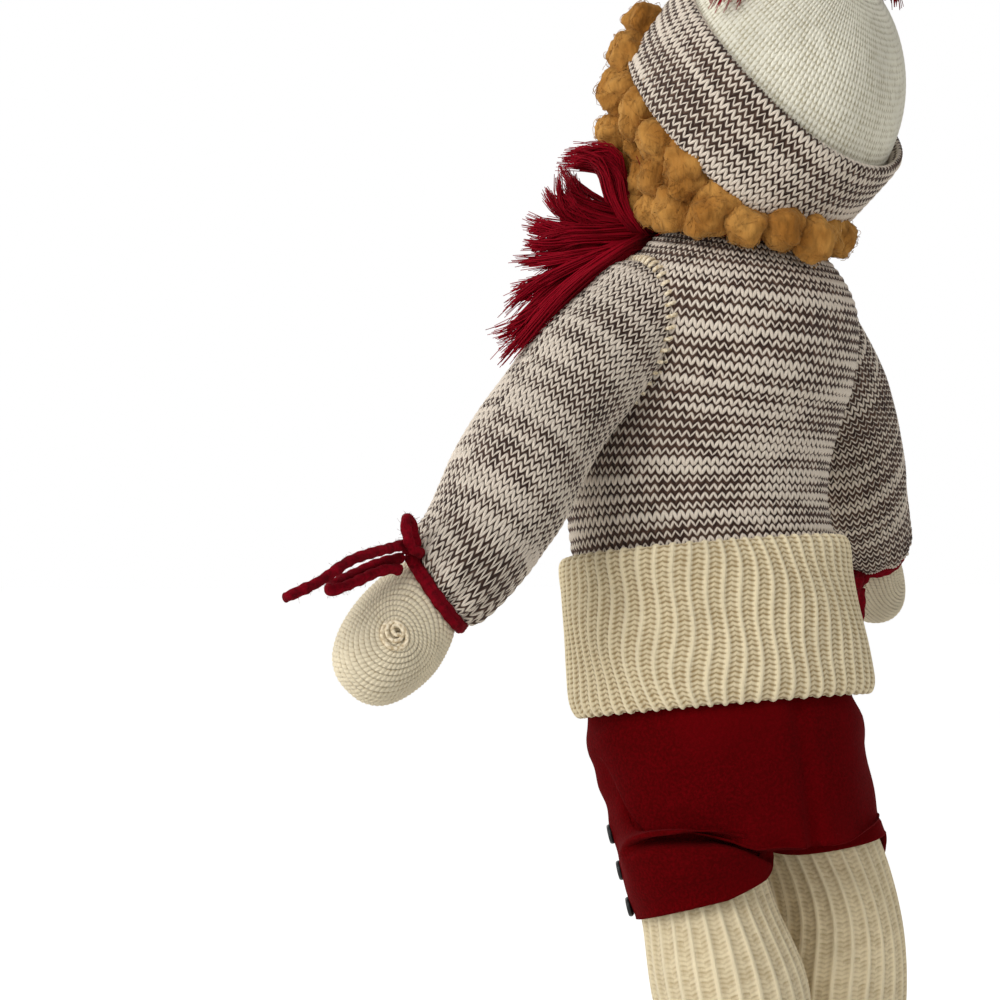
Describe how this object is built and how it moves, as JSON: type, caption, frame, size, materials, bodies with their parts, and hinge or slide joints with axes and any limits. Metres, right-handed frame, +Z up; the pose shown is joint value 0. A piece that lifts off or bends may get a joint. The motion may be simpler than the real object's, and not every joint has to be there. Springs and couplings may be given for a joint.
{
  "type": "knitted doll",
  "caption": "Soft stuffed doll of marled and cream knitting with a turned-up hat, wool hair, velvet shorts and red yarn ties; head, arms and legs move.",
  "frame": {"origin": "on the floor, under the middle of the doll without the free yarn ends", "axes": "+Z up; the doll faces -Y and its left side is towards +X"},
  "size_m": [0.3981, 0.2002, 0.5523],
  "materials": {
    "marl": "fine knit",
    "cream": "ribbed and plain knit",
    "stuffing": "loose fibre",
    "velvet": "short pile",
    "yarn": "twisted wool yarn",
    "roving": "thick wool roving",
    "button": "polished"
  },
  "bodies": {
    "torso": {"torso_skin": "marl", "torso_filling": "stuffing", "shorts_seat": "velvet", "waist_cuff": "cream", "neck_tie": "yarn", "neck_tassel": "yarn"},
    "neck": {"neck_filling": "stuffing"},
    "head": {"head_skin": "cream", "head_filling": "stuffing", "left_eye": "button", "right_eye": "button", "nose": "cream", "mouth": "yarn", "hat_crown": "cream", "hat_brim": "marl", "hat_tassel": "yarn", "hair": "roving"},
    "left_shoulder": {"left_shoulder_wad": "stuffing"},
    "left_arm": {"left_sleeve": "marl", "left_hand": "cream", "left_arm_filling": "stuffing", "left_wrist_tie": "yarn", "left_wrist_tail": "yarn", "left_wrist_lower_loop": "yarn", "left_wrist_upper_loop": "yarn"},
    "left_leg": {"left_stocking": "cream", "left_leg_filling": "stuffing", "left_shorts_leg": "velvet", "left_button_upper": "button", "left_button_middle": "button", "left_button_lower": "button", "left_foot": "cream"},
    "right_shoulder": {"right_shoulder_wad": "stuffing"},
    "right_arm": {"right_sleeve": "marl", "right_hand": "cream", "right_arm_filling": "stuffing", "right_wrist_tie": "yarn", "right_wrist_tail": "yarn", "right_wrist_lower_loop": "yarn", "right_wrist_upper_loop": "yarn"},
    "right_leg": {"right_stocking": "cream", "right_leg_filling": "stuffing", "right_shorts_leg": "velvet", "right_button_upper": "button", "right_button_middle": "button", "right_button_lower": "button", "right_foot": "cream"}
  },
  "joints": [
    {"name": "head_turn", "type": "hinge", "parent": "torso", "child": "neck", "pos_m": [-0.00465, 0.02939, 0.44163], "axis": [-0.0785, 0.1387, 0.9872], "range_deg": [-30, 30]},
    {"name": "head_nod", "type": "hinge", "parent": "neck", "child": "head", "pos_m": [-0.00465, 0.02939, 0.44163], "axis": [0.9969, 0.0109, 0.0777], "range_deg": [0, 15]},
    {"name": "left_shoulder_swing", "type": "hinge", "parent": "torso", "child": "left_shoulder", "pos_m": [0.04876, 0.02702, 0.39353], "axis": [-0.9673, -0.2502, -0.0417], "range_deg": [-45, 95]},
    {"name": "left_shoulder_lift", "type": "hinge", "parent": "left_shoulder", "child": "left_arm", "pos_m": [0.04876, 0.02702, 0.39353], "axis": [0.2438, -0.9625, 0.1193], "range_deg": [-8, 40], "deforming": ["neck_tassel"]},
    {"name": "right_shoulder_swing", "type": "hinge", "parent": "torso", "child": "right_shoulder", "pos_m": [-0.0499, 0.0015, 0.38928], "axis": [-0.9673, -0.2502, -0.0417], "range_deg": [-65, 75]},
    {"name": "right_shoulder_lift", "type": "hinge", "parent": "right_shoulder", "child": "right_arm", "pos_m": [-0.0499, 0.0015, 0.38928], "axis": [-0.2051, 0.8684, -0.4514], "range_deg": [-20, 28]},
    {"name": "left_hip_swing", "type": "hinge", "parent": "torso", "child": "left_leg", "pos_m": [0.0288, 0.0279, 0.205], "axis": [-1, 0, 0], "range_deg": [-18, 75]},
    {"name": "right_hip_swing", "type": "hinge", "parent": "torso", "child": "right_leg", "pos_m": [-0.0332, 0.0279, 0.205], "axis": [-1, 0, 0], "range_deg": [-27, 65]}
  ]
}
